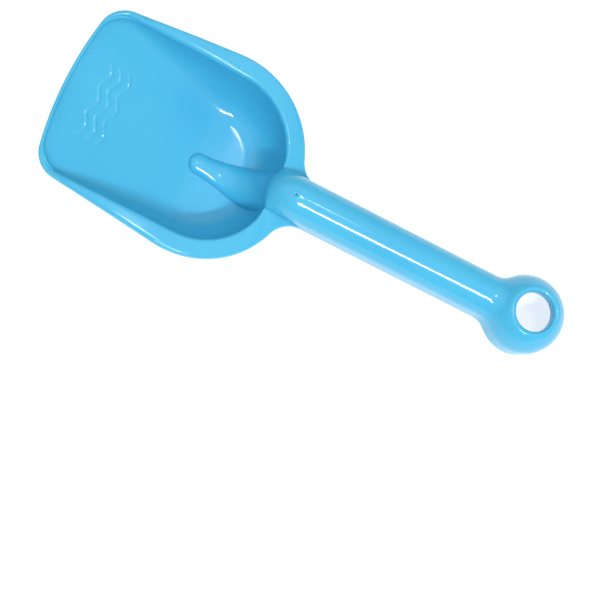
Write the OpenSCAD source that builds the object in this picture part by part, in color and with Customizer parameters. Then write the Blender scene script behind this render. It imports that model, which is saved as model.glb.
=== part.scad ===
// Child's sand scoop: one hollow plastic moulding with a deep, open-fronted bowl,
// a hollow half-round grip and a domed hanging eye.
// The nodes are three lengths of that one moulding, and meet face to face.
// The moulding is laid out along its grip: X runs from the digging edge to the eye,
// Z is up out of the bowl and the grip's centre line is at height 0. It is then
// tipped by lie_angle, so that it stands on its heel and on the eye's lower edge.

/* [Overall] */
// Length from the digging edge to the far side of the eye
total_length = 250; // [240:1:262]
// Wall thickness of the moulding
wall = 2; // [1.6:0.1:2.2]

/* [Bowl] */
// Half the width of the hollow between its straight side walls
hollow_half = 38.3; // [37:0.1:40]
// Depth of the hollow's floor at the heel, below the grip's centre line
heel_depth = 27.7; // [25:0.1:30]
// Slope of the floor, rise over run
floor_slope = 0.414; // [0.39:0.001:0.43]
// Height of the rim's highest point, over the grip's centre line
rim_height = 4; // [3:0.1:5]
// Radius of the rim's outer edge round the back
back_radius = 44; // [43:0.5:46]
// Radius of the front corners
corner_radius = 13; // [11:0.5:15]
// Radius of the bow in the digging edge
edge_bow = 175; // [160:5:220]
// Depth of the lip that turns down round the rim
lip_depth = 3.4; // [2.8:0.1:4]

/* [Rib] */
// Half the width of the rib's rounded tip
rib_tip = 5; // [4:0.1:5.5]
// Height of the rib over the floor
rib_height = 3.2; // [2.6:0.1:4]

/* [Grip] */
// Radius of the grip's rounded top
grip_radius = 10; // [9.5:0.1:10.5]
// Depth of the grip's open underside, below its centre line
grip_skirt = 9; // [8:0.1:10]
// Length of the grip's rounded nose over the bowl
nose_length = 14.7; // [14:0.1:16]

/* [Hanging eye] */
// Radius of the domed end
eye_radius = 18.3; // [17.5:0.1:19.5]
// Diameter of the hole through it
hole_d = 18; // [16:0.5:20]
// Depth of the collar that lines the hole
collar_depth = 4; // [3:0.5:6]
// Radius of the concave neck between the grip and the eye
neck_radius = 9.7; // [8:0.1:12]

/* [Hidden] */
moulding_blue = [0.32, 0.74, 0.93];
$fn = 96;

// Places along the length
eye_x = 117.4;
edge_x = eye_x + eye_radius - total_length;
grip_start = 12;
neck_height = grip_radius + neck_radius;
neck_x = eye_x - sqrt(pow(eye_radius + neck_radius, 2) - pow(neck_height, 2));

// Side view of the rim and the floor: bow of the rim, run-out of the floor's slope into
// the level heel, and dish of the floor from side to side
rim_crown = 0.00127;
crown_x = -80;
heel_kink = -46.2;
heel_blend = 5.3;
floor_dish = 0.0011;
// Shape of the wall's curve: how square it is, and how far it reaches in across the
// floor for its height
wall_power = 2.3;
foot_start = 1.2;
foot_growth = 0.52;
// Rounding of the rim's inner edge, as much as the wall's height allows and dying out
// over mouth_fade where it nears the grip, and rounding of the rim's outer edge
mouth_round_max = 2.2;
mouth_share = 0.4;
mouth_fade = 6;
rim_round = 1.8;
rim_round_share = 0.45;

// Outline of the rim seen from above, as tangent arcs and a straight side
side_angle = 6.5;
side_along = [cos(side_angle), sin(side_angle)];
side_out = [-sin(side_angle), cos(side_angle)];
back_c = [-45, 3.4];
side_end = back_c + back_radius * side_out;
bow_c = [edge_x + edge_bow, 0];
corner_from = side_end - corner_radius * side_out - bow_c;
corner_run = -corner_from * side_along - sqrt(
    pow(corner_from * side_along, 2) - corner_from * corner_from + pow(edge_bow - corner_radius, 2));
corner_c = bow_c + corner_from + corner_run * side_along;
corner_turn = atan2(corner_c[1], corner_c[0] - bow_c[0]);
side_start = corner_c + corner_radius * side_out;
root_fillet = 13.7;
root_height = grip_radius + root_fillet;
root_reach = sqrt(pow(back_radius + root_fillet, 2) - pow(root_height - back_c[1], 2));
root_c = [back_c[0] + root_reach, root_height];
root_turn = atan2(root_c[1] - back_c[1], root_c[0] - back_c[0]);
root_lead = 25;

// Mouth of the hollow seen from above
mouth_c = [-44, 5.3];
mouth_r = hollow_half - mouth_c[1];
edge_flange = 1.5;
// Share of the rim's width by which the skin under it moves out at the front, and the
// share of the rim's width that a skin under it may take up there
lip_share = 0.55;
lip_width_share = 0.6;
mouth_bow = edge_bow - edge_flange;
mouth_corner = 10.5;
mouth_corner_y = hollow_half - mouth_corner;
mouth_corner_reach = sqrt(pow(mouth_bow - mouth_corner, 2) - pow(mouth_corner_y, 2));
mouth_corner_c = [bow_c[0] - mouth_corner_reach, mouth_corner_y];

// Rib: its tip, where its crest leaves the floor, and the angle up the nose that its
// crest has reached where its base meets the rim
tip_x = -49.5;
tip_c = tip_x + rib_tip;
crest_start = -34;
meet_lift = 17.5;
// Share of the wall thickness by which the skin under the rib is narrower at its tip
rib_draw = 0.7;
// Where the cross lines of the front start on the centre line
run_lead = 10;
run_turn = -88;

// Hole: its radius, and the rounding of its upper edge where it leaves the dome
hole_r = hole_d / 2;
collar_round = 1.6;
collar_c = hole_r + collar_round;
collar_top = sqrt(pow(eye_radius - collar_round, 2) - pow(collar_c, 2));
// How far the collar reaches up into the dome
collar_root = 0.2;
rim_turn = collar_c * (eye_radius / (eye_radius - collar_round) - 1);

// The angle that brings the heel and the eye's lower edge to one level, and the move
// that puts the middle of the overall box's base at the origin
heel_x = -25.8;
lie_angle = atan((heel_depth + wall - grip_skirt) / (eye_x + eye_radius - heel_x));
edge_z = rim_height - rim_crown * pow(edge_x - crown_x, 2) - wall;
far_x = eye_x * cos(lie_angle) + eye_radius;
near_x = edge_x * cos(lie_angle) + edge_z * sin(lie_angle);
lie_lift = (eye_x + eye_radius) * sin(lie_angle) + grip_skirt * cos(lie_angle);

// Number of stations along each stretch of the outline, and of steps across the shell.
// The wall's steps take up no more than wall_share of the way across
front_n = 9;
side_count = 7;
back_n = 15;
root_n = 6;
eye_n = 14;
neck_n = 4;
skirt_steps = 1;
round_steps = 3;
flange_steps = 2;
wall_steps = 7;
wall_share = 0.75;
floor_steps = 3;
side_steps = 1;
crown_steps = 8;

// Stations round half of the rim: number of the last one on each stretch
last_front = front_n;
last_side = last_front + side_count;
last_back = last_side + back_n;
last_root = last_back + root_n;

function arc(c, r, a0, a1, n) = [for (i = [0:n]) let (a = mix(a0, a1, i / n)) c + r * [cos(a), sin(a)]];
function mix(a, b, t) = a + (b - a) * t;
function ease(t) = let (c = max(0, min(1, t))) c * c * (3 - 2 * c);
function unit(v) = norm(v) < 1e-6 ? [0, -1] : v / norm(v);
function raise(p, z) = [p[0], p[1], z];
function tail(list) = [for (i = [1:len(list) - 1]) list[i]];
// n + 1 points spaced evenly along the line p
function lengths(p, i = 0, s = 0) =
    i == len(p) - 1 ? [s] : concat([s], lengths(p, i + 1, s + norm(p[i + 1] - p[i])));
function spread(p, n) =
    let (s = lengths(p), whole = s[len(p) - 1])
    [for (i = [0:n]) [for (axis = [0:len(p[0]) - 1])
        lookup(whole * i / n, [for (j = [0:len(p) - 1]) [s[j], p[j][axis]]])]];

// Height of the rim, and of the floor as its slope runs out into the level heel
function rim_z(x) = rim_height - rim_crown * pow(x - crown_x, 2);
function floor_z(x, y) =
    -heel_depth + floor_slope * heel_blend * ln(1 + exp((heel_kink - x) / heel_blend)) + floor_dish * y * y;
// Distance in from the mouth of the hollow, with its front corners rounded
function mouth_gap(x, y) =
    let (
        side = mouth_r - norm([max(x - mouth_c[0], 0), max(y - mouth_c[1], 0)]),
        front = mouth_bow - norm([x, y] - bow_c),
        a = max(mouth_corner - side, 0),
        b = max(mouth_corner - front, 0)
    )
    a > 0 && b > 0 ? mouth_corner - norm([a, b]) : min(side, front);
// Where the mouth meets the side of the grip
function meet(inset) = [
    mouth_c[0] + sqrt(pow(mouth_r + inset, 2) - pow(grip_radius - inset - mouth_c[1], 2)),
    grip_radius - inset
];
// Rounding of the mouth's edge, which dies out where the mouth meets the grip
function mouth_round(x, y, inset) =
    min(mouth_round_max, mouth_share * (rim_z(x) - floor_z(x, y)))
        * ease(norm([x, y] - meet(inset)) / mouth_fade);
// Height of the hollow's skin; inset is 0 for the upper skin and wall for the lower one
function wall_foot(h) = foot_start + foot_growth * h;
function fall(t) = t >= 1 ? 0 : t <= 0 ? 1 : 1 - pow(1 - pow(1 - t, wall_power), 1 / wall_power);
function hollow_z(x, y, inset) =
    let (
        low = floor_z(x, y) - inset,
        high = rim_z(x) - inset - mouth_round(x, y, inset),
        foot = wall_foot(rim_z(x) - floor_z(x, y)) + inset
    )
    mix(low, high, fall((mouth_gap(x, y) + inset) / foot));

// Outline of the rim at every station
front_path = concat(
    arc(bow_c, edge_bow, 180, corner_turn, 24),
    arc(corner_c, corner_radius, corner_turn, 90 + side_angle, 24));
root_path = concat(
    arc(back_c, back_radius, root_lead, root_turn, 8),
    arc(root_c, root_fillet, 180 + root_turn, 270, 24));
outline = concat(
    spread(front_path, front_n),
    [for (i = [1:side_count]) mix(side_start, side_end, i / side_count)],
    tail(arc(back_c, back_radius, 90 + side_angle, root_lead, back_n)),
    tail(spread(root_path, root_n)),
    [[grip_start, grip_radius]]);

// Edge of the mouth at every station, and of the hollow's outer skin under the rim
mouth_turn = atan2(mouth_corner_c[1], mouth_corner_c[0] - bow_c[0]);
mouth_path = concat(
    arc(bow_c, mouth_bow, 180, mouth_turn, 24),
    arc(mouth_corner_c, mouth_corner, mouth_turn, 90, 24));
function mouth(inset) =
    let (
        lip = inset / wall,
        front = spread(mouth_path, front_n),
        turn = asin((grip_radius - inset - mouth_c[1]) / (mouth_r + inset))
    )
    concat(
        [for (i = [0:front_n]) mix(front[i], outline[i], lip_share * lip)],
        [for (i = [1:side_count]) mix(mix(front[front_n], outline[front_n], lip_share * lip),
            mouth_c + [0, mouth_r + inset], i / side_count)],
        tail(arc(mouth_c, mouth_r + inset, 90, turn, back_n)),
        [for (i = [1:root_n]) [mix(meet(inset)[0], root_c[0], i / root_n), grip_radius - inset]],
        [[grip_start, grip_radius - inset]]);

// Rib: half its width, its base line on the hollow's skin and its crest
function rib_half(x) = mix(rib_tip, grip_radius, ease((x - tip_c) / (meet(0)[0] - tip_c)));
function tip_r(inset) = rib_tip - rib_draw * inset;
function rib_base(inset) =
    let (plan = concat(
        [for (a = [0:15:75]) [tip_c - tip_r(inset) * cos(a), tip_r(inset) * sin(a)]],
        [for (i = [0:40]) let (t = i / 40, x = mix(tip_c, meet(0)[0], t))
            [mix(x, x + meet(inset)[0] - meet(0)[0], t), rib_half(x) - mix(rib_draw, 1, t) * inset]]))
    [for (p = plan) raise(p, hollow_z(p[0], p[1], inset))];
function nose(a, inset) = [(inset - nose_length) * cos(a), 0, (grip_radius - inset) * sin(a)];
function rib_crest(inset) =
    let (low = floor_z(crest_start, 0) + rib_height, sweep = crest_start + nose_length)
    concat(
        [for (a = [0:15:90]) let (x = tip_c - tip_r(inset) * cos(a))
            [x, 0, floor_z(x, 0) - inset + rib_height * sin(a)]],
        [for (a = [0:5:85]) [crest_start - sweep * sin(a) + inset * sin(a), 0, (low - inset) * cos(a)]],
        [for (a = [0:3.5:meet_lift]) nose(a, inset)]);
function grip_crest(inset) =
    concat([for (a = [meet_lift:3.625:90]) nose(a, inset)], [[root_c[0], 0, grip_radius - inset]]);

// Inner end of every station: on the centre line as far as the rib's tip, then along
// the rib's base and the grip's side; and the crest that faces it
function base_line(inset) = concat(
    [for (i = [0:last_side]) let (x = mix_run(i, inset)) [x, 0, hollow_z(x, 0, inset)]],
    tail(spread(rib_base(inset), back_n)),
    [for (i = [last_back + 1:last_root + 1]) let (p = mouth(inset)[i])
        raise(p, rim_z(min(p[0], root_c[0])) - inset)]);
function mix_run(i, inset) =
    i <= last_front ? mix(edge_x + run_lead, run_turn, i / front_n)
    : mix(run_turn, tip_c - tip_r(inset), (i - last_front) / side_count);
function crest_line(inset) = concat(
    [for (i = [0:last_side]) base_line(inset)[i]],
    tail(spread(rib_crest(inset), back_n)),
    tail(spread(grip_crest(inset), root_n)),
    [[grip_start, 0, grip_radius - inset]]);

// One station's points, from the rim's lower edge over the rim, down the hollow's wall,
// across its floor and up to the crest of the rib or grip
function station(i, inset, edge, base, crest) =
    let (
        out = outline[i],
        inward = unit(edge - out),
        width = norm(edge - out),
        level = rim_z(min(out[0], root_c[0])) - inset,
        level_in = rim_z(min(edge[0], root_c[0])) - inset,
        lower = max(-grip_skirt, level + inset - mix(wall, lip_depth, ease(i / last_side))),
        shell = min(inset, width * (i > last_back ? 1 : lip_width_share)),
        outer_r = inset > 0 ? 0 : min(rim_round, rim_round_share * width),
        inner_r = inset > 0 || i > last_back ? 0 : mouth_round(edge[0], edge[1], 0),
        foot = out + inward * shell,
        start = out + inward * (shell + outer_r),
        stop = edge - inward * inner_r,
        in_z = i > last_back ? level_in : hollow_z(edge[0], edge[1], inset),
        span = [base[0], base[1]] - edge,
        depth = rim_z(edge[0]) - floor_z(edge[0], edge[1]),
        reach = min(norm(span) * wall_share, wall_foot(depth) + inset),
        share = norm(span) < 1e-6 ? 0 : reach / norm(span),
        shoulder = i <= last_back ? base[2] : mix(base[2], 0, ease((i - last_back) / 3)),
        half = base[1]
    )
    concat(
        [for (j = [0:skirt_steps - 1]) raise(foot, mix(lower, level - outer_r, j / skirt_steps))],
        [for (j = [0:round_steps]) let (a = 90 * j / round_steps)
            raise(mix(foot, start, 1 - cos(a)), level - outer_r * (1 - sin(a)))],
        [for (j = [1:flange_steps]) let (t = j / flange_steps)
            raise(mix(start, stop, t), mix(level, level_in, t))],
        [for (j = [1:round_steps]) let (a = 90 * j / round_steps)
            raise(mix(stop, edge, sin(a)), mix(in_z, level_in, cos(a)))],
        [for (j = [1:wall_steps]) let (t = share * (1 - cos(90 * j / wall_steps)), p = edge + span * t)
            raise(p, i > last_back ? base[2] : hollow_z(p[0], p[1], inset))],
        [for (j = [1:floor_steps]) let (t = mix(share, 1, j / floor_steps), p = edge + span * t)
            raise(p, i > last_back || j == floor_steps ? base[2] : hollow_z(p[0], p[1], inset))],
        [for (j = [1:side_steps]) raise(base, mix(base[2], shoulder, j / side_steps))],
        [for (j = [1:crown_steps]) let (a = 90 * j / crown_steps, y = half * cos(a))
            [mix(base[0], crest[0], pow(sin(a), 2)), y, mix(shoulder, crest[2], sin(a))]]);
function skin(inset) =
    let (edges = mouth(inset), bases = base_line(inset), crests = crest_line(inset))
    [for (i = [0:last_root + 1]) station(i, inset, edges[i], bases[i], crests[i])];

// A closed shell between two skins that share their stations, on one side of the centre
function flip(tri, turned) = turned ? [tri[0], tri[2], tri[1]] : tri;
function patch(a, b, c, d, turned) = [flip([a, d, b], turned), flip([b, d, c], turned)];
function shell_faces(rows, cols, first, turned) =
    let (under = first + rows * cols)
    concat(
        [for (i = [0:rows - 2]) for (j = [0:cols - 2]) let (a = first + i * cols + j)
            each patch(a, a + 1, a + cols + 1, a + cols, turned)],
        [for (i = [0:rows - 2]) for (j = [0:cols - 2]) let (a = under + i * cols + j)
            each patch(a, a + cols, a + cols + 1, a + 1, turned)],
        [for (i = [0:rows - 2]) let (a = first + i * cols, b = under + i * cols)
            each patch(a, a + cols, b + cols, b, turned)],
        [for (j = [0:cols - 2])
            let (a = first + (rows - 1) * cols + j, b = under + (rows - 1) * cols + j)
            each patch(a, a + 1, b + 1, b, turned)]);
function flat(list) = [for (row = list) each row];
function solid_face(points, f) =
    norm(cross(points[f[1]] - points[f[0]], points[f[2]] - points[f[0]])) > 1e-7;

// The closed shell between an upper and a lower skin, each given for one side as rows
// of points from the outer edge to the centre line, and mirrored to the other side
module shell(upper, lower, turned) {
    half = concat(flat(upper), flat(lower));
    points = concat(half, [for (p = half) [p[0], -p[1], p[2]]]);
    rows = len(upper);
    cols = len(upper[0]);
    faces = concat(shell_faces(rows, cols, 0, turned), shell_faces(rows, cols, len(half), !turned));
    polyhedron(points, [for (f = faces) if (solid_face(points, f)) f]);
}

// Section of the grip: a half round on straight sides, open below
module grip_section(r, skirt) {
    circle(r);
    translate([-r, -skirt]) square([2 * r, skirt]);
}

// Rows of the eye's skin, from its far end to the neck's start: a profile turned about
// the grip's centre line above it, and straight sides below
function eye_row(x, r) = concat(
    [[x, r, -grip_skirt]],
    [for (j = [0:crown_steps]) let (a = 90 * j / crown_steps) [x, r * cos(a), r * sin(a)]]);
function eye_skin(inset) =
    let (r = eye_radius - inset, neck_r = neck_radius + inset, touch = atan2(neck_height, eye_x - neck_x))
    concat(
        [for (i = [0:eye_n]) let (a = mix(180, touch, i / eye_n)) eye_row(eye_x - r * cos(a), r * sin(a))],
        [for (i = [1:neck_n]) let (a = mix(touch, 90, i / neck_n))
            eye_row(neck_x + neck_r * cos(a), neck_height - neck_r * sin(a))]);

// What rounds the upper edge of the hole off, for turning about the hole's axis
module hole_rounding() {
    difference() {
        translate([hole_r - 1, collar_top]) square([collar_c - hole_r + 1 + rim_turn, eye_radius]);
        translate([collar_c, collar_top]) circle(collar_round);
    }
}

// Puts a piece laid out along the grip at rest on the ground
module lie() {
    translate([-(far_x + near_x) / 2, 0, lie_lift]) rotate([0, lie_angle, 0]) children();
}

module bowl() {
    color(moulding_blue) lie() shell(skin(0), skin(wall), false);
}

module grip() {
    color(moulding_blue) lie() translate([grip_start, 0, 0]) rotate([90, 0, 90])
        linear_extrude(neck_x - grip_start) difference() {
            grip_section(grip_radius, grip_skirt);
            grip_section(grip_radius - wall, grip_radius + 1);
        }
}

module hanging_eye() {
    color(moulding_blue) lie() difference() {
        union() {
            shell(eye_skin(0), eye_skin(wall), true);
            translate([eye_x, 0, collar_top - collar_depth])
                cylinder(r = hole_r + wall, h = collar_depth + collar_root);
        }
        translate([eye_x, 0, 0]) cylinder(r = hole_r, h = eye_radius + 1);
        translate([eye_x, 0, 0]) rotate_extrude() hole_rounding();
    }
}

bowl();
grip();
hanging_eye();
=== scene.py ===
"""Looks of a child's sand scoop: one glossy plastic moulding, a floor and soft studio light.

The moulding is laid out along its grip, in millimetres: X runs from the digging edge
to the hanging eye, Z is up out of the bowl, and the grip's centre line is at height 0.
It is then tipped so that it stands on its heel and on the eye's lower edge, and turned
to metres.
"""

import math

import bmesh
import bpy
import numpy as np
from bpy.props import FloatProperty, FloatVectorProperty, PointerProperty
from mathutils import Euler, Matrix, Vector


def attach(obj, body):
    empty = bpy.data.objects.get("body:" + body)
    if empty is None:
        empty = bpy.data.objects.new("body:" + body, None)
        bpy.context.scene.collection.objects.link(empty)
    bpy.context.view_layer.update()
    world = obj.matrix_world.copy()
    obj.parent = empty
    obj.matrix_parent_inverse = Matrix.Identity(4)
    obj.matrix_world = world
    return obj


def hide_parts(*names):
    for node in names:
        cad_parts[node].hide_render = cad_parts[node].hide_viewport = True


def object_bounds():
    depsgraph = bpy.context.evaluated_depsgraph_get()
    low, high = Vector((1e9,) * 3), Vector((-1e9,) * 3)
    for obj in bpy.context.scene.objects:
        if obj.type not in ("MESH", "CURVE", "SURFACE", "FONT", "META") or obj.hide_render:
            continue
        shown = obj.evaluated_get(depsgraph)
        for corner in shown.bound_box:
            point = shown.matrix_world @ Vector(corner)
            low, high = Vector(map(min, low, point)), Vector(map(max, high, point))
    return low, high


bl_info = {
    "name": "Sand scoop",
    "version": (1, 0, 0),
    "blender": (4, 5, 0),
    "location": "3D View > Sidebar > Sand scoop",
    "description": "Makes a moulded plastic sand scoop, its floor and its lights",
    "category": "Add Mesh",
}

NODES = ("bowl", "grip", "hanging_eye")
MERGE_DISTANCE = 2e-6
GATE_PLACE = (-0.0120, -0.0009, 0.0363)
# Colour of the painted shade in the gate mark's pit
GATE_PIT_PAINTED_SHADE = (0.01, 0.12, 0.25, 1.0)
NO_LENGTH = 1e-6

# Cells of each noise in the plastic, for every metre of it
CELLS = {
    "pooled": 22.0, "scratch": 1500.0, "patches": 60.0, "haze": 45.0,
    "swirl": 420.0, "flow": 38.0, "grain": 1800.0,
}

# Place and size of each softbox, in metres
OVERHEAD_BOX = ((-0.15, 0.25, 1.9), (3.0, 3.0))
STRIP_BOX = ((0.42, -0.56, 1.0), (0.42, 0.06))
SMALL_BOX = ((0.24, 0.12, 1.2), (0.14, 0.14))

CAMERA_PLACE = (-0.0121, -0.1643, 0.6927)
CAMERA_TURN = (8.762, -6.042, 24.514)

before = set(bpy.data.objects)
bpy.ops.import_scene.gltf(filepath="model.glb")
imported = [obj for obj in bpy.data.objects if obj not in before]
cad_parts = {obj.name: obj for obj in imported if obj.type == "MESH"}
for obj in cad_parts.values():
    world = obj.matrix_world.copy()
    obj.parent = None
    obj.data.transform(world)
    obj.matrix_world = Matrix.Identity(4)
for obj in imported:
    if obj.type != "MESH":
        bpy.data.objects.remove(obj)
cad_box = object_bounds()


# ---------------------------------------------------------------- settings


def length(name, description, default):
    """A size in metres."""
    return FloatProperty(
        name=name, description=description, default=default, unit="LENGTH", precision=5)


def share(name, description, default):
    """A value from 0 to 1."""
    return FloatProperty(
        name=name, description=description, default=default, min=0.0, max=1.0, subtype="FACTOR")


def colour(name, description, default):
    """A linear colour."""
    return FloatVectorProperty(
        name=name, description=description, default=default, size=3, subtype="COLOR", min=0.0, max=1.0)


def level(name, description, default, unit="NONE"):
    """A strength or a power."""
    return FloatProperty(name=name, description=description, default=default, unit=unit)


class ScoopSizes(bpy.types.PropertyGroup):
    """Sizes of the moulding."""

    total_length: length("Length", "From the digging edge to the far side of the eye", 0.25)
    wall: length("Wall", "Thickness of the moulding", 0.002)
    hollow_half: length("Hollow half width", "Half the width between the straight side walls", 0.0383)
    heel_depth: length("Heel depth", "Depth of the level heel below the grip's centre line", 0.0277)
    floor_slope: FloatProperty(name="Floor slope", description="Rise over run of the floor", default=0.414)
    rim_height: length("Rim height", "Highest point of the rim over the grip's centre line", 0.004)
    back_radius: length("Back radius", "Radius of the rim's outer edge round the back", 0.04396)
    corner_radius: length("Corner radius", "Radius of the front corners", 0.013)
    edge_bow: length("Edge bow", "Radius of the bow in the digging edge", 0.175)
    lip_depth: length("Lip depth", "Depth of the lip that turns down round the rim", 0.0034)
    rib_tip: length("Rib tip", "Half the width of the rib's rounded tip", 0.005)
    rib_height: length("Rib height", "Height of the rib over the floor", 0.0032)
    grip_radius: length("Grip radius", "Radius of the grip's rounded top", 0.01)
    grip_skirt: length("Grip skirt", "Depth of the grip's open underside", 0.009)
    nose_length: length("Nose length", "Length of the grip's rounded nose over the bowl", 0.0147)
    eye_radius: length("Eye radius", "Radius of the domed end", 0.0183)
    hole_radius: length("Hole radius", "Radius of the hanging hole", 0.009)
    collar_depth: length("Collar depth", "Depth of the collar that lines the hole", 0.004)
    neck_radius: length("Neck radius", "Radius of the concave neck between grip and eye", 0.0097)
    edge_softness: length("Edge softness", "Rounding of the moulding's lower edges", 0.00045)
    ripple_relief: length("Ripple relief", "Height of the wavy lines on the floor", 0.0004)
    density: FloatProperty(name="Density", description="Fineness of the mesh", default=1.0, min=0.3, max=1.3)


class ScoopFinish(bpy.types.PropertyGroup):
    """Colours and finish of the plastic."""

    plastic: colour("Plastic", "Colour of the plastic", (0.068, 0.465, 0.715))
    plastic_deep: colour("Deep tint", "Colour where the plastic pooled thicker", (0.057, 0.432, 0.690))
    scuff_colour: colour("Scuffs", "Colour of fine scuffs", (0.30, 0.70, 0.93))
    roughness: share("Roughness", "Roughness of the moulded skin", 0.13)
    roughness_spread: share("Roughness spread", "How far the roughness varies", 0.06)
    scatter: share("Light inside", "How much light travels inside the plastic", 0.18)
    flow_relief: length("Flow relief", "Height of the slow waves in the skin", 0.00006)
    grain_relief: length("Grain relief", "Height of the fine grain in the skin", 0.000006)
    gate_relief: length("Gate relief", "Depth of the gate mark on the grip", 0.0004)


class ScoopStage(bpy.types.PropertyGroup):
    """Floor, lights and camera."""

    floor_colour: colour("Floor", "Colour of the floor", (0.52, 0.52, 0.52))
    floor_glow: level("Floor glow", "Light of the table under the scoop", 0.7)
    floor_size: length("Floor size", "Width of the floor", 6.0)
    world_strength: level("Surroundings", "Strength of the even light all round", 0.48)
    key_power: level("Overhead light", "Power of the wide softbox overhead", 15.0, "POWER")
    fill_power: level("Small light", "Power of the small softbox overhead", 1.6, "POWER")
    strip_power: level("Strip light", "Power of the narrow softbox beside the grip", 7.5, "POWER")
    lens: level("Lens", "Focal length of the camera", 92.15, "CAMERA")


# ---------------------------------------------------------------- curves and grids


def polar(centre, radius, angles):
    """Points of a circle: centre plus radius times (cosine, sine) of each angle in degrees."""
    a = np.radians(angles)
    return np.stack([centre[0] + radius * np.cos(a), centre[1] + radius * np.sin(a)], -1)


def arc(centre, radius, start, stop, count=200):
    """Points of a circle's arc from the angle start to the angle stop, in degrees."""
    return polar(centre, radius, np.linspace(start, stop, count))


def spread(path, where):
    """Points on the line path at the shares `where` of its whole length."""
    steps = np.linalg.norm(np.diff(path, axis=0), axis=1)
    at = np.concatenate([[0.0], np.cumsum(steps)])
    return np.stack([np.interp(where * at[-1], at, column) for column in path.T], -1)


def ease(t):
    """Rises from 0 to 1 with level ends: 3 t squared less 2 t cubed."""
    t = np.clip(t, 0.0, 1.0)
    return t * t * (3.0 - 2.0 * t)


def mix(a, b, t):
    """a where t is 0 and b where t is 1, in a straight line between."""
    return a + (b - a) * t


def raised(plan, height):
    """Plan points with their height."""
    return np.concatenate([plan, np.broadcast_to(height, plan.shape[:-1])[..., None]], -1)


def unit(v):
    """Vectors turned to length 1; a vector with no length points along minus Y."""
    size = np.linalg.norm(v, axis=-1, keepdims=True)
    return np.where(size < NO_LENGTH, np.array([0.0, -1.0]), v / np.maximum(size, NO_LENGTH))


def grid_faces(rows, columns, first, turned):
    """Four-sided faces between the neighbouring rows and columns of a grid of points."""
    a = (np.arange(rows - 1)[:, None] * columns + np.arange(columns - 1)[None, :]).ravel() + first
    quads = np.stack([a, a + columns, a + columns + 1, a + 1], -1)
    return quads[:, ::-1] if turned else quads


# ---------------------------------------------------------------- shape of the scoop


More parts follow.
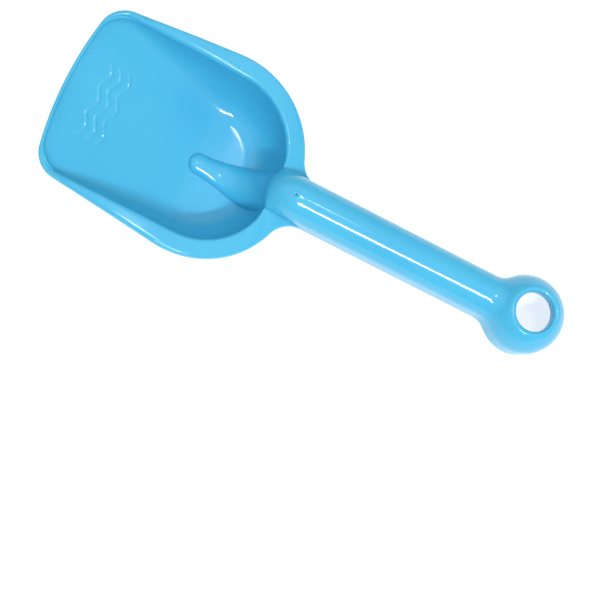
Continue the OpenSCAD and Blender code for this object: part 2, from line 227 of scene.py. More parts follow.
class Shape:
    """Every curve and height of the scoop, in millimetres, from its settings."""

    side_angle = 6.5
    back_centre = np.array([-45.0, 3.4])
    root_fillet = 13.7
    root_lead = 25.0
    mouth_centre = np.array([-44.0, 5.3])
    mouth_corner = 10.5
    edge_flange = 1.5
    lip_share = 0.55
    flange_share = 0.6
    rim_round_share = 0.45
    eye_x = 117.4
    grip_start = 12.0
    rim_crown = 0.00127
    crown_x = -80.0
    heel_kink = -46.2
    heel_blend = 5.3
    floor_dish = 0.0011
    wall_power = 2.3
    foot_start = 1.2
    foot_growth = 0.52
    foot_share = 0.75
    foot_extra = 3.2
    front_x = -96.0
    front_run = 16.0
    mouth_round_most = 2.2
    mouth_round_share = 0.4
    mouth_round_less = 0.28
    mouth_round_fade = 6.0
    rim_round = 1.8
    tip_x = -49.5
    crest_start = -34.0
    meet_lift = 17.5
    rib_draw = 0.7
    run_lead = 10.0
    run_turn = -85.0
    collar_round = 1.6
    root_span = 6.0
    shoulder_run = 3.0
    fillet_run = 5.0
    fillet_rounds = 9
    fillet_reach = 4
    tip_rows = 3.0
    floor_crowding = 1.15
    soft_share = 0.3
    heel_x = -25.8
    front_phase = 9.0 / 16.0
    ripple_first = 15.5
    ripple_pitch = 4.6
    ripple_count = 3
    ripple_half = 1.15
    ripple_sway = 1.3
    ripple_wave = 13.0
    ripple_end = 18.5
    ripple_fade = 2.0

    def __init__(self, sizes):
        mm = 1000.0
        for name in sizes.bl_rna.properties.keys():
            if name in ("rna_type", "name"):
                continue
            value = getattr(sizes, name)
            setattr(self, name, value if name in ("floor_slope", "density") else value * mm)
        self.edge_x = self.eye_x + self.eye_radius - self.total_length
        neck_height = self.grip_radius + self.neck_radius
        self.neck_height = neck_height
        self.neck_x = self.eye_x - math.sqrt((self.eye_radius + self.neck_radius) ** 2 - neck_height**2)
        self.neck_touch = math.degrees(math.atan2(neck_height, self.eye_x - self.neck_x))
        self.plan_outline()
        self.plan_mouth()
        self.tip_centre = self.tip_x + self.rib_tip
        self.collar_centre = self.hole_radius + self.collar_round
        self.collar_top = math.sqrt((self.eye_radius - self.collar_round) ** 2 - self.collar_centre**2)
        drop = self.heel_depth + self.wall - self.grip_skirt
        far = self.eye_x + self.eye_radius
        self.tip_angle = math.atan(drop / (far - self.heel_x))
        c, s = math.cos(self.tip_angle), math.sin(self.tip_angle)
        edge_z = self.rim_height - self.rim_crown * (self.edge_x - self.crown_x) ** 2 - self.wall
        self.shift = -((self.eye_x * c + self.eye_radius) + (self.edge_x * c + edge_z * s)) / 2
        self.lift = far * s + self.grip_skirt * c

    def plan_outline(self):
        """Centres and angles of the tangent arcs that make the rim's outer edge: the bowed
        digging edge, a front corner, the straight side, the back and the fillet to the grip."""
        a = math.radians(self.side_angle)
        along = np.array([math.cos(a), math.sin(a)])
        out = np.array([-math.sin(a), math.cos(a)])
        self.side_end = self.back_centre + self.back_radius * out
        self.bow_centre = np.array([self.edge_x + self.edge_bow, 0.0])
        start = self.side_end - self.corner_radius * out - self.bow_centre
        reach = start @ along
        run = -reach - math.sqrt(reach**2 - start @ start + (self.edge_bow - self.corner_radius) ** 2)
        self.corner_centre = self.bow_centre + start + run * along
        offset = self.corner_centre - self.bow_centre
        self.corner_turn = math.degrees(math.atan2(offset[1], offset[0]))
        self.side_start = self.corner_centre + self.corner_radius * out
        height = self.grip_radius + self.root_fillet
        reach = math.sqrt((self.back_radius + self.root_fillet) ** 2 - (height - self.back_centre[1]) ** 2)
        self.root_centre = np.array([self.back_centre[0] + reach, height])
        offset = self.root_centre - self.back_centre
        self.root_turn = math.degrees(math.atan2(offset[1], offset[0]))

    def plan_mouth(self):
        """Radius and corners of the hollow's mouth."""
        self.mouth_radius = self.hollow_half - self.mouth_centre[1]
        self.mouth_bow = self.edge_bow - self.edge_flange
        y = self.hollow_half - self.mouth_corner
        reach = math.sqrt((self.mouth_bow - self.mouth_corner) ** 2 - y**2)
        self.mouth_corner_centre = np.array([self.bow_centre[0] - reach, y])
        self.mouth_turn = math.degrees(math.atan2(y, -reach))

    def counts(self):
        """Number of stations on the front, the side, the back and the fillet."""
        d = self.density
        return [max(4, int(round(n * d))) for n in (66, 34, 74, 30)]

    def outline(self):
        """The rim's outer edge at every station, as far as the grip's start."""
        front, side, back, root = self.counts()
        bow = np.concatenate([
            arc(self.bow_centre, self.edge_bow, 180, self.corner_turn),
            arc(self.corner_centre, self.corner_radius, self.corner_turn, 90 + self.side_angle)[1:]])
        fillet = np.concatenate([
            arc(self.back_centre, self.back_radius, self.root_lead, self.root_turn),
            arc(self.root_centre, self.root_fillet, 180 + self.root_turn, 270)[1:]])
        t = np.arange(1, side + 1)[:, None] / side
        return np.concatenate([
            spread(bow, np.linspace(0, 1, front + 1)),
            mix(self.side_start, self.side_end, t),
            arc(self.back_centre, self.back_radius, 90 + self.side_angle, self.root_lead, back + 1)[1:],
            spread(fillet, np.linspace(0, 1, root + 1))[1:],
            [[self.grip_start, self.grip_radius]]])

    def mouth(self, inset):
        """The hollow's mouth at every station: inset 0 for the upper skin, and moved out by
        the wall for the skin under it, but less at the front, where the rim is narrow."""
        front, side, back, root = self.counts()
        lip = self.lip_share * inset / self.wall
        path = np.concatenate([
            arc(self.bow_centre, self.mouth_bow, 180, self.mouth_turn),
            arc(self.mouth_corner_centre, self.mouth_corner, self.mouth_turn, 90)[1:]])
        ahead = spread(path, np.linspace(0, 1, front + 1))
        ahead = mix(ahead, self.outline()[: front + 1], lip)
        radius = self.mouth_radius + inset
        turn = math.degrees(math.asin((self.grip_radius - inset - self.mouth_centre[1]) / radius))
        t = np.arange(1, side + 1)[:, None] / side
        q = np.arange(1, root + 1) / root
        half = self.grip_radius - inset
        return np.concatenate([
            ahead,
            mix(ahead[-1], self.mouth_centre + [0.0, radius], t),
            arc(self.mouth_centre, radius, 90, turn, back + 1)[1:],
            np.stack([mix(self.meet(inset)[0], self.root_centre[0], q), np.full(root, half)], -1),
            [[self.grip_start, half]]])

    def meet(self, inset):
        """Where the mouth meets the side of the grip."""
        half = self.grip_radius - inset
        radius = self.mouth_radius + inset
        reach = math.sqrt(radius**2 - (half - self.mouth_centre[1]) ** 2)
        return np.array([self.mouth_centre[0] + reach, half])

    def rim_z(self, x):
        """Height of the rim: a flat parabola with its top at crown_x."""
        return self.rim_height - self.rim_crown * (x - self.crown_x) ** 2

    def floor_z(self, x, y):
        """Height of the floor: a slope that runs out smoothly into the level heel, by the
        logarithm of 1 plus an exponential, and a shallow parabola from side to side."""
        soft = np.logaddexp(0.0, (self.heel_kink - x) / self.heel_blend)
        return -self.heel_depth + self.floor_slope * self.heel_blend * soft + self.floor_dish * y * y

    def mouth_gap(self, x, y):
        """Distance in from the mouth, as to a rounded box: the smaller of the distances to
        the side and to the front, and near a corner the distance to a circle."""
        c = self.mouth_centre
        side = self.mouth_radius - np.hypot(np.maximum(x - c[0], 0), np.maximum(y - c[1], 0))
        front = self.mouth_bow - np.hypot(x - self.bow_centre[0], y - self.bow_centre[1])
        a = np.maximum(self.mouth_corner - side, 0)
        b = np.maximum(self.mouth_corner - front, 0)
        return np.where((a > 0) & (b > 0), self.mouth_corner - np.hypot(a, b), np.minimum(side, front))

    def mouth_rounding(self, x, y, inset):
        """Radius of the mouth's rounded edge, which dies out where it meets the grip."""
        meet = self.meet(inset)
        near = ease(np.hypot(x - meet[0], y - meet[1]) / self.mouth_round_fade)
        part = self.mouth_round_share - self.mouth_round_less * self.at_front(x)
        return np.minimum(self.mouth_round_most, part * (self.rim_z(x) - self.floor_z(x, y))) * near

    def at_front(self, x):
        """Rises from 0 to 1 over the last of the way to the digging edge."""
        return ease((self.front_x - x) / self.front_run)

    def foot(self, height, x):
        """How far a wall of this height reaches in across the floor, and further close to
        the digging edge, where the rim melts into the floor."""
        return self.foot_start + self.foot_growth * height + self.foot_extra * self.at_front(x)

    def hollow_z(self, x, y, inset):
        """Height of the hollow's skin: from the rim to the floor along a quarter of a
        superellipse, over the reach of the wall's foot."""
        low = self.floor_z(x, y) - inset
        high = self.rim_z(x) - inset - self.mouth_rounding(x, y, inset)
        reach = self.foot(self.rim_z(x) - self.floor_z(x, y), x) + inset
        t = np.clip((self.mouth_gap(x, y) + inset) / reach, 0.0, 1.0)
        fall = 1.0 - (1.0 - (1.0 - t) ** self.wall_power) ** (1.0 / self.wall_power)
        return mix(low, high, fall)

    def ripples(self, x, y):
        """Height of the wavy lines on the floor: a squared cosine of the distance from the
        nearest line, and each line sways by a cosine of y and fades at its two ends."""
        sway = self.ripple_sway * np.cos(2 * np.pi * y / self.ripple_wave)
        along = x - (self.edge_x + self.ripple_first) - sway
        nearest = np.clip(np.round(along / self.ripple_pitch), 0, self.ripple_count - 1)
        off = np.clip(np.abs(along - nearest * self.ripple_pitch) / self.ripple_half, 0.0, 1.0)
        inside = ease((self.ripple_end - np.abs(y)) / self.ripple_fade)
        return self.ripple_relief * np.cos(off * np.pi / 2) ** 2 * inside

    def rib_base(self, inset):
        """Line where the rib meets the hollow's skin: round its tip, then widening to the
        grip's width with level ends."""
        r = self.rib_tip - self.rib_draw * inset
        a = np.radians(np.linspace(0, 90, 80, endpoint=False))
        tip = np.stack([self.tip_centre - r * np.cos(a), r * np.sin(a)], -1)
        t = np.linspace(0, 1, 300)
        x = mix(self.tip_centre, self.meet(0)[0], t)
        width = mix(self.rib_tip, self.grip_radius, ease(t)) - mix(self.rib_draw, 1.0, t) * inset
        side = np.stack([mix(x, x + self.meet(inset)[0] - self.meet(0)[0], t), width], -1)
        plan = np.concatenate([tip, side])
        return raised(plan, self.hollow_z(plan[:, 0], plan[:, 1], inset))

    def nose(self, angles, inset):
        """Crest of the grip's nose: a quarter of an ellipse from the rim up to the grip."""
        a = np.radians(angles)
        x = (inset - self.nose_length) * np.cos(a)
        return np.stack([x, 0 * a, (self.grip_radius - inset) * np.sin(a)], -1)

    def rib_crest(self, inset):
        """The rib's crest: up round its tip, along the floor, and up the bowl's back to the
        nose along a quarter of an ellipse."""
        low = float(self.floor_z(self.crest_start, 0.0)) + self.rib_height
        r = self.rib_tip - self.rib_draw * inset
        a = np.radians(np.linspace(0, 90, 60))
        x = self.tip_centre - r * np.cos(a)
        tip = np.stack([x, 0 * x, self.floor_z(x, 0.0) - inset + self.rib_height * np.sin(a)], -1)
        b = np.radians(np.linspace(0, 90, 120, endpoint=False))
        sweep = self.crest_start + self.nose_length - inset
        x = self.crest_start - sweep * np.sin(b)
        back = np.stack([x, 0 * b, (low - inset) * np.cos(b)], -1)
        return np.concatenate([tip, back, self.nose(np.linspace(0, self.meet_lift, 40), inset)])

    def grip_crest(self, inset):
        """Crest of the nose from the rib's end to the top of the grip."""
        rise = self.nose(np.linspace(self.meet_lift, 90, 120), inset)
        return np.concatenate([rise, [[self.root_centre[0], 0.0, self.grip_radius - inset]]])

    def base_and_crest(self, inset):
        """The two inner ends of every station: on the centre line as far as the rib's tip,
        then the rib's base and the grip's side, and the crest that faces them."""
        front, side, back, root = self.counts()
        tip = self.tip_centre - (self.rib_tip - self.rib_draw * inset)
        run = np.concatenate([
            np.linspace(self.edge_x + self.run_lead, self.run_turn, front + 1),
            np.linspace(self.run_turn, tip, side + 1)[1:]])
        middle = np.stack([run, 0 * run, self.hollow_z(run, 0.0 * run, inset)], -1)
        plan = self.mouth(inset)[front + side + back + 1:]
        beside = raised(plan, self.rim_z(np.minimum(plan[:, 0], self.root_centre[0])) - inset)
        where = np.linspace(0, 1, back + 1)
        base = np.concatenate([middle, spread(self.rib_base(inset), where)[1:], beside])
        crest = np.concatenate([
            middle,
            spread(self.rib_crest(inset), where)[1:],
            spread(self.grip_crest(inset), np.linspace(0, 1, root + 1))[1:],
            [[self.grip_start, 0.0, self.grip_radius - inset]]])
        return base, crest

    def skin(self, inset, steps):
        """Points of the bowl's upper skin (inset 0) or lower skin (inset = wall), a row for
        every station: round the rim's lower edge, up its lip, over the rim, down the
        hollow's wall, across the floor, and over the rib or the grip to the centre line."""
        front, side, back, root = self.counts()
        out = self.outline()
        edge = self.mouth(inset)
        base, crest = self.base_and_crest(inset)
        n = len(out)
        last_back = front + side + back
        at_grip = np.arange(n) > last_back
        phase = np.concatenate([
            np.linspace(0, self.front_phase, front + 1),
            np.linspace(self.front_phase, 1, side + 1)[1:], np.ones(n - front - side - 1)])
        past = self.root_span * np.arange(1, root + 1) / root
        q = np.concatenate([np.zeros(last_back + 1), past, [self.root_span + 1.0]])
        span_in = edge - out
        inward = unit(span_in)
        width = np.linalg.norm(span_in, axis=1)
        level = self.rim_z(np.minimum(out[:, 0], self.root_centre[0])) - inset
        level_in = self.rim_z(np.minimum(edge[:, 0], self.root_centre[0])) - inset
        lower = np.maximum(-self.grip_skirt, level + inset - mix(self.wall, self.lip_depth, ease(phase)))
        shell = np.minimum(inset, width * np.where(at_grip, 1.0, self.flange_share))
        gap = np.where(at_grip, self.wall, np.minimum(self.wall, width * self.flange_share))
        soft = np.minimum(self.edge_softness, self.soft_share * gap)
        outer, inner = 0.0 * width, 0.0 * width
        if inset == 0:
            outer = np.minimum(self.rim_round, self.rim_round_share * width)
            inner = np.where(at_grip, 0.0, self.mouth_rounding(edge[:, 0], edge[:, 1], 0.0))
        foot = out + inward * shell[:, None]
        start = out + inward * (shell + outer)[:, None]
        stop = edge - inward * inner[:, None]
        in_z = np.where(at_grip, level_in, self.hollow_z(edge[:, 0], edge[:, 1], inset))
        span = base[:, :2] - edge
        reach = np.linalg.norm(span, axis=1)
        depth = self.rim_z(edge[:, 0]) - self.floor_z(edge[:, 0], edge[:, 1])
        wall_run = np.minimum(reach * self.foot_share, self.foot(depth, edge[:, 0]) + inset)
        part = np.where(reach < NO_LENGTH, 0.0, wall_run / np.maximum(reach, NO_LENGTH))
        shoulder = np.where(at_grip, mix(base[:, 2], 0.0, ease(q / self.shoulder_run)), base[:, 2])

        def row(plan, height):
            """One column of the grid: plan points and heights, station by station."""
            return raised(plan, height)[:, None, :]

        way = 1.0 if inset == 0 else -1.0
        columns = []
        for b in np.radians(np.linspace(90, 0, steps["soft"] + 1)):
            across = way * soft * (1 - math.cos(b))
            columns.append(row(foot + inward * across[:, None], lower + soft * (1 - math.sin(b))))
        for t in np.linspace(0, 1, steps["skirt"] + 1)[1:]:
            columns.append(row(foot, mix(lower + soft, np.maximum(level - outer, lower + soft), t)))
        for a in np.radians(np.linspace(0, 90, steps["round"] + 1)):
            columns.append(row(mix(foot, start, 1 - math.cos(a)), level - outer * (1 - math.sin(a))))
        for t in np.linspace(0, 1, steps["flange"] + 1)[1:]:
            columns.append(row(mix(start, stop, t), mix(level, level_in, t)))
        for a in np.radians(np.linspace(0, 90, steps["round"] + 1)[1:]):
            columns.append(row(mix(stop, edge, math.sin(a)), mix(in_z, level_in, math.cos(a))))
        fall = part[:, None] * (1 - np.cos(np.radians(np.linspace(0, 90, steps["wall"] + 1)[1:])))
        crowded = 1.0 - (1.0 - np.linspace(0, 1, steps["floor"] + 1)[1:]) ** self.floor_crowding
        across = mix(part[:, None], 1.0, crowded)
        t = np.concatenate([fall, across], 1)
        bent = np.stack([1.0 - (1.0 - t) ** 2, t], -1)
        plan = edge[:, None, :] + span[:, None, :] * bent
        height = self.hollow_z(plan[..., 0], plan[..., 1], inset)
        height = np.where(at_grip[:, None], base[:, None, 2], height)
        height[:, -1] = base[:, 2]
        if inset == 0:
            relief = self.ripples(plan[..., 0], plan[..., 1]) * ~at_grip[:, None]
            height = height + relief
            base[:, 2] += relief[:, -1]
            crest[:, 2] += np.where(np.arange(n) <= front + side, relief[:, -1], 0.0)
            shoulder = shoulder + relief[:, -1]
        columns.append(raised(plan, height))
        for t in np.linspace(0, 1, steps["side"] + 1)[1:]:
            columns.append(row(base[:, :2], mix(base[:, 2], shoulder, t)))
        a = np.radians(np.linspace(0, 90, steps["crown"] + 1)[1:])[None, :]
        crown = np.stack([
            mix(base[:, :1], crest[:, :1], np.sin(a) ** 2),
            base[:, 1:2] * np.cos(a),
            mix(shoulder[:, None], crest[:, 2:3], np.sin(a))], -1)
        crown[:, -1, 1] = 0.0
        columns.append(crown)
        points = np.concatenate(columns, 1)
        if inset == 0:
            corner = points.shape[1] - steps["crown"] - steps["side"] - 1
            on_rib = ease((np.arange(n) - front - side) / self.tip_rows)
            fade = on_rib * (1.0 - ease((q - 1.0) / self.fillet_run))
            points = self.filleted(points, corner, fade[:, None, None])
        return points

    def filleted(self, points, corner, amount):
        """Rounds the crease at the column `corner` by averaging the columns near it with
        their neighbours, again and again, as heat spreads."""
        points = points.copy()
        first, last = corner - self.fillet_reach, corner + self.fillet_reach + 2
        near = slice(first, last)
        before, after = slice(first - 1, last - 1), slice(first + 1, last + 1)
        for _ in range(self.fillet_rounds):
            mean = 0.25 * points[:, before] + 0.5 * points[:, near] + 0.25 * points[:, after]
            points[:, near] = mix(points[:, near], mean, amount)
        return points

    def eye_radius_at(self, x, inset):
        """Radius of the eye's and neck's profile at x: a concave circle, then a sphere."""
        r, neck = self.eye_radius - inset, self.neck_radius + inset
        touch = self.eye_x - r * math.cos(math.radians(self.neck_touch))
        concave = self.neck_height - np.sqrt(np.maximum(neck**2 - (x - self.neck_x) ** 2, 0.0))
        sphere = np.sqrt(np.maximum(r**2 - (x - self.eye_x) ** 2, 0.0))
        return np.where(x < touch, concave, sphere)

    def eye_outline(self, inset):
        """The eye's outline from above, from the neck's start round to its far end."""
        d = self.density
        neck, dome = max(4, int(14 * d)), max(8, int(60 * d))
        a = np.radians(np.linspace(90, self.neck_touch, neck + 1))
        r = self.neck_radius + inset
        first = np.stack([self.neck_x + r * np.cos(a), self.neck_height - r * np.sin(a)], -1)
        b = np.radians(np.linspace(self.neck_touch, 180, dome + 1)[1:])
        r = self.eye_radius - inset
        second = np.stack([self.eye_x - r * np.cos(b), r * np.sin(b)], -1)
        second[-1, 1] = 0.0
        return np.concatenate([first, second])

    def eye_boundary(self, inset, crown):
        """Outer ends of the dome's lines: across the neck from the crest to its side, then
        round the outline."""
        a = np.radians(np.linspace(90, 0, crown + 1)[:-1])
        half = self.grip_radius - inset
        across = np.stack([np.full(crown, self.neck_x), half * np.cos(a)], -1)
        across[0, 1] = 0.0
        return np.concatenate([across, self.eye_outline(inset)])

    def eye_dome(self, inset, angles, inner, crown, steps):
        """The dome from a circle round the hole out to its boundary: straight lines in plan,
        crowded towards the outline by a sine, with height the root of the profile's radius
        squared less y squared."""
        ends = self.eye_boundary(inset, crown)
        begin = np.stack([self.eye_x + inner * np.cos(angles), inner * np.sin(angles)], -1)
        s = np.sin(np.linspace(0, math.pi / 2, steps + 1))[None, :, None]
        plan = mix(begin[:, None, :], ends[:, None, :], s)
        r = self.eye_radius_at(plan[..., 0], inset)
        height = np.sqrt(np.maximum(r**2 - plan[..., 1] ** 2, 0.0))
        rim = crown
        height[rim:, -1] = 0.0
        half = self.grip_radius - inset
        height[:rim, -1] = half * np.sin(np.radians(np.linspace(90, 0, crown + 1)[:-1]))
        return raised(plan, height)

    def hole_lining(self, angles, steps):
        """The hole's rounded upper edge, its wall and the collar under it, as one profile
        turned about the hole's axis."""
        lift = math.degrees(math.atan2(self.collar_top, self.collar_centre))
        centre = (self.collar_centre, self.collar_top)
        top = polar(centre, self.collar_round, np.linspace(lift, 180, steps + 1))
        soft = self.edge_softness
        bottom = self.collar_top - self.collar_depth
        outer = self.hole_radius + self.wall
        inner = self.eye_radius - self.wall
        near = polar((self.hole_radius + soft, bottom + soft), soft, np.linspace(180, 270, 5))
        far = polar((outer - soft, bottom + soft), soft, np.linspace(270, 360, 5))
        down = np.linspace(self.collar_top, bottom + soft, 7)[1:-1]
        wall = np.stack([np.full(len(down), self.hole_radius), down], -1)
        root = [[outer, math.sqrt(inner**2 - outer**2)]]
        profile = np.concatenate([top, wall, near, far, root])
        radius, height = profile[:, 0], profile[:, 1]
        x = self.eye_x + np.cos(angles)[:, None] * radius
        y = np.sin(angles)[:, None] * radius
        y[0] = 0.0
        y[-1] = 0.0
        return np.stack([x, y, np.broadcast_to(height, x.shape)], -1)

    def laid(self, points):
        """Turns points about Y to rest, moves the box's base to the origin, in metres."""
        c, s = math.cos(self.tip_angle), math.sin(self.tip_angle)
        x, y, z = points[:, 0], points[:, 1], points[:, 2]
        return np.stack([x * c + z * s + self.shift, y, z * c - x * s + self.lift], -1) / 1000.0


def moulding_grids(shape):
    """Every grid of points of one half of the moulding."""
    crown = max(6, int(round(22 * shape.density)))
    upper = dict(soft=3, skirt=2, round=6, flange=6, wall=24, floor=44, side=5, crown=crown)
    lower = dict(soft=3, skirt=2, round=3, flange=3, wall=16, floor=7, side=3, crown=crown)
    grids = []
    feet = []
    for inset, steps in ((0.0, upper), (shape.wall, lower)):
        bowl = shape.skin(inset, steps)
        grids.append(bowl)
        section = bowl[-1]
        x = np.linspace(shape.grip_start, shape.neck_x, max(6, int(34 * shape.density)) + 1)
        grip = np.broadcast_to(section, (len(x),) + section.shape).copy()
        grip[..., 0] = x[:, None]
        grids.append(grip)
        side = section[: len(section) - crown]
        rim = shape.eye_outline(inset)
        other = shape.eye_outline(shape.wall - inset)
        across = unit(other - rim)
        across[0] = (0.0, -1.0 if inset == 0 else 1.0)
        step_in = np.abs((shape.grip_radius - inset) - side[:, 1])
        plan = rim[:, None, :] + across[:, None, :] * step_in[None, :, None]
        plan[-1, :, 1] = 0.0
        skirt = raised(plan, side[None, :, 2])
        grids.append(skirt)
        feet.append(np.concatenate([bowl[:, 0], grip[1:, 0], skirt[1:, 0]]))
    outer_ends = shape.eye_boundary(0.0, crown)
    angles = np.arctan2(outer_ends[:, 1], outer_ends[:, 0] - shape.eye_x)
    angles[0], angles[-1] = math.pi, 0.0
    tangent = shape.collar_centre * shape.eye_radius / (shape.eye_radius - shape.collar_round)
    above, below = max(6, int(20 * shape.density)), max(5, int(12 * shape.density))
    grids.append(shape.eye_dome(0.0, angles, tangent, crown, above))
    grids.append(shape.hole_lining(angles, 8))
    grids.append(shape.eye_dome(shape.wall, angles, shape.hole_radius + shape.wall, crown, below))
    grids.append(np.stack([mix(feet[0], feet[1], t) for t in (0.0, 0.5, 1.0)], 1))
    return grids


def inside_box(points):
    """Points drawn in, by hundredths of a millimetre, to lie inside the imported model's box."""
    low, high = points.min(0), points.max(0)
    to_low = np.maximum(low, np.array(cad_box[0]))
    to_high = np.minimum(high, np.array(cad_box[1]))
    return to_low + (points - low) * (to_high - to_low) / (high - low)


def mesh_from_grids(name, grids, place):
    """One closed mesh from half grids: every grid is mirrored over the centre plane, all are
    joined where their points meet, and faces without area are dropped."""
    points, quads, first = [], [], 0
    for grid in grids:
        rows, columns = grid.shape[:2]
        flat = grid.reshape(-1, 3)
        for sign in (1.0, -1.0):
            points.append(flat * [1.0, sign, 1.0])
            quads.append(grid_faces(rows, columns, first, sign < 0))
            first += len(flat)
    points = inside_box(place(np.concatenate(points)))
    quads = np.concatenate(quads)
    mesh = bpy.data.meshes.new(name)
    mesh.from_pydata(points.tolist(), [], quads.tolist())
    work = bmesh.new()
    work.from_mesh(mesh)
    bmesh.ops.remove_doubles(work, verts=work.verts, dist=MERGE_DISTANCE)
    bmesh.ops.dissolve_degenerate(work, dist=1e-7, edges=work.edges)
    loose = [v for v in work.verts if not v.link_faces]
    bmesh.ops.delete(work, geom=loose, context="VERTS")
    bmesh.ops.recalc_face_normals(work, faces=work.faces)
    open_edges = [e for e in work.edges if len(e.link_faces) != 2]
    print(f"{name}: {len(work.faces)} faces, {len(open_edges)} edges that aren't between two faces")
    work.to_mesh(mesh)
    work.free()
    mesh.shade_smooth()
    return mesh


# ---------------------------------------------------------------- materials


def add_node(tree, kind, x, y, **values):
    """A node at a place in the tree, with its settings and the values of its sockets."""
    node = tree.nodes.new(kind)
    node.location = (x, y)
    for name, value in values.items():
        if hasattr(node, name):
            setattr(node, name, value)
        else:
            node.inputs[name.replace("_", " ")].default_value = value
    return node


def plastic_material(finish):
    """Glossy moulded polypropylene: slow flow waves, a fine grain, faint pooled colour, a
    gate mark with painted shade in its pit, and scuffs that thicken to the digging edge."""
    material = bpy.data.materials.new("moulded_plastic")
    material.use_nodes = True
    tree = material.node_tree
    tree.nodes.clear()
    link = tree.links.new
    out = add_node(tree, "ShaderNodeOutputMaterial", 1200, 0)
    shader = add_node(tree, "ShaderNodeBsdfPrincipled", 900, 0)
    link(shader.outputs[0], out.inputs[0])
    shader.inputs["IOR"].default_value = 1.49
    shader.inputs["Subsurface Weight"].default_value = finish.scatter
    shader.inputs["Subsurface Radius"].default_value = (0.6, 1.0, 1.4)
    shader.inputs["Subsurface Scale"].default_value = 0.0016
    place = add_node(tree, "ShaderNodeTexCoord", -1600, 0).outputs["Object"]

    def noise(kind, detail, x, y, stretch=(1.0, 1.0, 1.0)):
        """Noise over the object, at its kind's number of cells a metre."""
        mapping = add_node(tree, "ShaderNodeMapping", x - 200, y)
        mapping.inputs["Scale"].default_value = stretch
        link(place, mapping.inputs["Vector"])
        node = add_node(tree, "ShaderNodeTexNoise", x, y)
        node.inputs["Scale"].default_value = CELLS[kind]
        node.inputs["Detail"].default_value = detail
        link(mapping.outputs[0], node.inputs["Vector"])
        return node.outputs["Fac"]

    def ranged(value, low, high, to_low, to_high, x, y, kind="SMOOTHSTEP"):
        """value carried from low..high to to_low..to_high."""
        node = add_node(tree, "ShaderNodeMapRange", x, y)
        node.interpolation_type = kind
        link(value, node.inputs["Value"])
        for socket, number in zip(("From Min", "From Max", "To Min", "To Max"), (low, high, to_low, to_high)):
            node.inputs[socket].default_value = number
        return node.outputs[0]

    def combine(kind, a, b, x, y):
        """Two values joined by an operation."""
        node = add_node(tree, "ShaderNodeMath", x, y)
        node.operation = kind
        for socket, value in zip(node.inputs, (a, b)):
            if isinstance(value, (int, float)):
                socket.default_value = value
            else:
                link(value, socket)
        return node.outputs[0]

    pooled = ranged(noise("pooled", 2.0, -1100, 500, (0.5, 1.0, 1.0)), 0.35, 0.65, 0.0, 1.0, -900, 500)
    tint = add_node(tree, "ShaderNodeMix", -400, 400)
    tint.data_type = "RGBA"
    link(pooled, tint.inputs[0])
    tint.inputs[6].default_value = (*finish.plastic, 1.0)
    tint.inputs[7].default_value = (*finish.plastic_deep, 1.0)

    where = add_node(tree, "ShaderNodeSeparateXYZ", -1300, -500)
    link(place, where.inputs[0])
    low_x = float(cad_box[0][0])
    scratch = noise("scratch", 2.0, -1100, -200, (0.03, 1.0, 1.0))
    lines = ranged(scratch, 0.66, 0.76, 0.0, 1.0, -700, -200)
    to_edge = ranged(where.outputs["X"], low_x, low_x + 0.075, 1.0, 0.12, -700, -420)
    patches = ranged(noise("patches", 3.0, -1100, -650), 0.42, 0.68, 0.0, 1.0, -700, -650)
    scuffs = combine("MULTIPLY", combine("MULTIPLY", lines, to_edge, -500, -300), patches, -350, -300)
    worn = add_node(tree, "ShaderNodeMix", 100, 300)
    worn.data_type = "RGBA"
    link(combine("MULTIPLY", scuffs, 0.3, -150, -300), worn.inputs[0])
    link(tint.outputs[2], worn.inputs[6])
    worn.inputs[7].default_value = (*finish.scuff_colour, 1.0)
    # Painted shade: a dark dot in the gate mark's pit stands in for the shade that falls in it
    pit_shade_mix = add_node(tree, "ShaderNodeMix", 500, 300)
    pit_shade_mix.data_type = "RGBA"
    away = add_node(tree, "ShaderNodeVectorMath", -1100, -2100)
    away.operation = "DISTANCE"
    link(place, away.inputs[0])
    away.inputs[1].default_value = GATE_PLACE
    distance = away.outputs["Value"]
    link(ranged(distance, 0.0002, 0.0006, 0.75, 0.0, 300, 600), pit_shade_mix.inputs[0])
    link(worn.outputs[2], pit_shade_mix.inputs[6])
    pit_shade_mix.inputs[7].default_value = GATE_PIT_PAINTED_SHADE
    link(pit_shade_mix.outputs[2], shader.inputs["Base Color"])

    hollow = ranged(distance, 0.0002, 0.0007, -1.0, 0.0, -800, -2100)
    ring = combine("PINGPONG", distance, 0.0013, -800, -2250)
    collar = ranged(ring, 0.0008, 0.0013, 0.0, 0.3, -650, -2250)
    near = ranged(distance, 0.0018, 0.0027, 1.0, 0.0, -800, -2400)
    swirl = combine("MULTIPLY", noise("swirl", 2.0, -800, -2550, (0.5, 1.0, 1.0)), 0.4, -600, -2550)
    around = ranged(distance, 0.002, 0.010, 1.0, 0.0, -600, -2700)
    swirl = combine("MULTIPLY", swirl, around, -450, -2600)
    rings = combine("MULTIPLY", collar, near, -500, -2300)
    pit = combine("ADD", combine("ADD", hollow, rings, -350, -2200), swirl, -250, -2400)
    half_spread = finish.roughness_spread / 2
    haze = ranged(
        noise("haze", 4.0, -1100, -900), 0.3, 0.7,
        finish.roughness - half_spread, finish.roughness + half_spread, -700, -900)
    rough = combine("ADD", haze, combine("MULTIPLY", scuffs, 0.25, -150, -500), 300, -500)
    link(rough, shader.inputs["Roughness"])

    def bump(height, relief, x, y, under=None):
        """Relief of so many metres, laid over the relief under it."""
        node = add_node(tree, "ShaderNodeBump", x, y)
        node.inputs["Distance"].default_value = relief
        node.inputs["Strength"].default_value = 1.0
        link(height, node.inputs["Height"])
        if under is not None:
            link(under, node.inputs["Normal"])
        return node.outputs[0]

    flow = bump(noise("flow", 2.0, 0, -800, (0.45, 1.0, 1.0)), finish.flow_relief, 300, -800)
    gate = bump(pit, finish.gate_relief, 450, -1100, flow)
    grain = bump(noise("grain", 3.0, 200, -1100), finish.grain_relief, 500, -800, gate)
    link(grain, shader.inputs["Normal"])
    return material


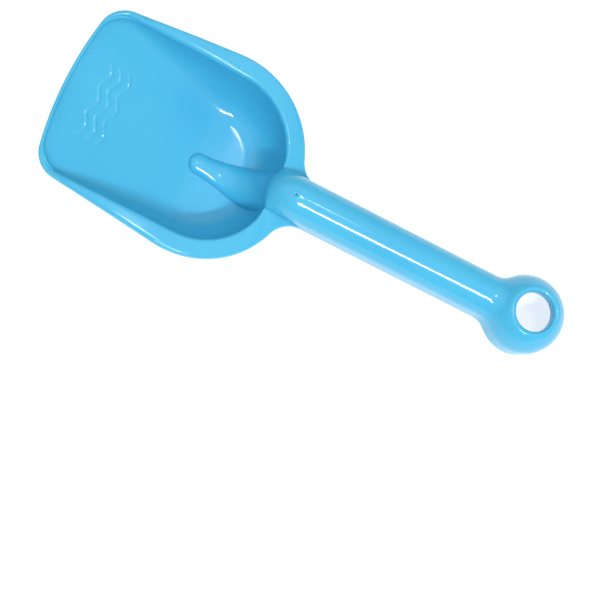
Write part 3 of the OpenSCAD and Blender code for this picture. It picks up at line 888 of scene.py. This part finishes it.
def floor_material(stage):
    """Matt pale floor that glows a little, as a lit table does."""
    material = bpy.data.materials.new("pale_floor")
    material.use_nodes = True
    tree = material.node_tree
    shader = tree.nodes["Principled BSDF"]
    shader.inputs["Base Color"].default_value = (*stage.floor_colour, 1.0)
    shader.inputs["Roughness"].default_value = 0.9
    shader.inputs["Emission Color"].default_value = (1.0, 1.0, 1.0, 1.0)
    shader.inputs["Emission Strength"].default_value = stage.floor_glow
    shader.inputs["Specular IOR Level"].default_value = 0.2
    return material


# ---------------------------------------------------------------- operators


class SCOOP_OT_moulding(bpy.types.Operator):
    """Makes the scoop: bowl, rib, grip and hanging eye as one hollow moulding."""

    bl_idname = "scoop.moulding"
    bl_label = "Moulding"

    def execute(self, context):
        sizes, finish = context.scene.scoop_sizes, context.scene.scoop_finish
        shape = Shape(sizes)
        mesh = mesh_from_grids("scoop_moulding", moulding_grids(shape), shape.laid)
        piece = bpy.data.objects.new("scoop_moulding", mesh)
        context.scene.collection.objects.link(piece)
        mesh.materials.append(plastic_material(finish))
        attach(piece, "root")
        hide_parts(*NODES)
        return {"FINISHED"}


class SCOOP_OT_stage(bpy.types.Operator):
    """Makes the floor, the soft lights and the camera."""

    bl_idname = "scoop.stage"
    bl_label = "Stage"

    def execute(self, context):
        stage = context.scene.scoop_stage
        scene = context.scene
        half = stage.floor_size / 2
        mesh = bpy.data.meshes.new("floor")
        corners = [(-half, -half, 0), (half, -half, 0), (half, half, 0), (-half, half, 0)]
        mesh.from_pydata(corners, [], [(0, 1, 2, 3)])
        mesh.materials.append(floor_material(stage))
        floor = bpy.data.objects.new("floor", mesh)
        scene.collection.objects.link(floor)
        world = bpy.data.worlds.new("studio")
        world.use_nodes = True
        background = world.node_tree.nodes["Background"]
        background.inputs["Color"].default_value = (1.0, 1.0, 1.0, 1.0)
        background.inputs["Strength"].default_value = stage.world_strength
        scene.world = world
        self.softbox(scene, "overhead_light", *OVERHEAD_BOX, stage.key_power)
        self.softbox(scene, "strip_light", *STRIP_BOX, stage.strip_power)
        self.softbox(scene, "spot_light", *SMALL_BOX, stage.fill_power)
        camera_data = bpy.data.cameras.new("camera")
        camera_data.lens = stage.lens
        camera_data.sensor_width = 36.0
        camera = bpy.data.objects.new("camera", camera_data)
        camera.location = CAMERA_PLACE
        camera.rotation_euler = Euler([math.radians(a) for a in CAMERA_TURN], "XYZ")
        scene.collection.objects.link(camera)
        scene.camera = camera
        scene.view_settings.view_transform = "Standard"
        return {"FINISHED"}

    def softbox(self, scene, name, place, size, power):
        """A rectangular area light that faces the scoop."""
        data = bpy.data.lights.new(name, "AREA")
        data.shape = "RECTANGLE"
        data.size, data.size_y = size
        data.energy = power
        light = bpy.data.objects.new(name, data)
        light.location = place
        aim = -np.array(place)
        tip = math.atan2(math.hypot(aim[0], aim[1]), -aim[2])
        light.rotation_euler = Euler((tip, 0.0, math.atan2(aim[1], aim[0]) - math.pi / 2))
        scene.collection.objects.link(light)


class SCOOP_PT_panel(bpy.types.Panel):
    """Buttons for the moulding and the stage, and their settings."""

    bl_label = "Sand scoop"
    bl_space_type = "VIEW_3D"
    bl_region_type = "UI"
    bl_category = "Sand scoop"

    def draw(self, context):
        layout = self.layout
        for operator in (SCOOP_OT_moulding, SCOOP_OT_stage):
            layout.operator(operator.bl_idname)
        for group in (context.scene.scoop_sizes, context.scene.scoop_finish, context.scene.scoop_stage):
            column = layout.column(align=True)
            for name in group.bl_rna.properties.keys():
                if name not in ("rna_type", "name"):
                    column.prop(group, name)


CLASSES = (ScoopSizes, ScoopFinish, ScoopStage, SCOOP_OT_moulding, SCOOP_OT_stage, SCOOP_PT_panel)


def register():
    """Adds the settings, operators and panel."""
    for cls in CLASSES:
        bpy.utils.register_class(cls)
    bpy.types.Scene.scoop_sizes = PointerProperty(type=ScoopSizes)
    bpy.types.Scene.scoop_finish = PointerProperty(type=ScoopFinish)
    bpy.types.Scene.scoop_stage = PointerProperty(type=ScoopStage)


def unregister():
    """Removes the settings, operators and panel."""
    del bpy.types.Scene.scoop_sizes
    del bpy.types.Scene.scoop_finish
    del bpy.types.Scene.scoop_stage
    for cls in reversed(CLASSES):
        bpy.utils.unregister_class(cls)


def main():
    """Makes the scoop and its stage."""
    register()
    bpy.ops.scoop.moulding()
    bpy.ops.scoop.stage()


if __name__ == "__main__":
    main()
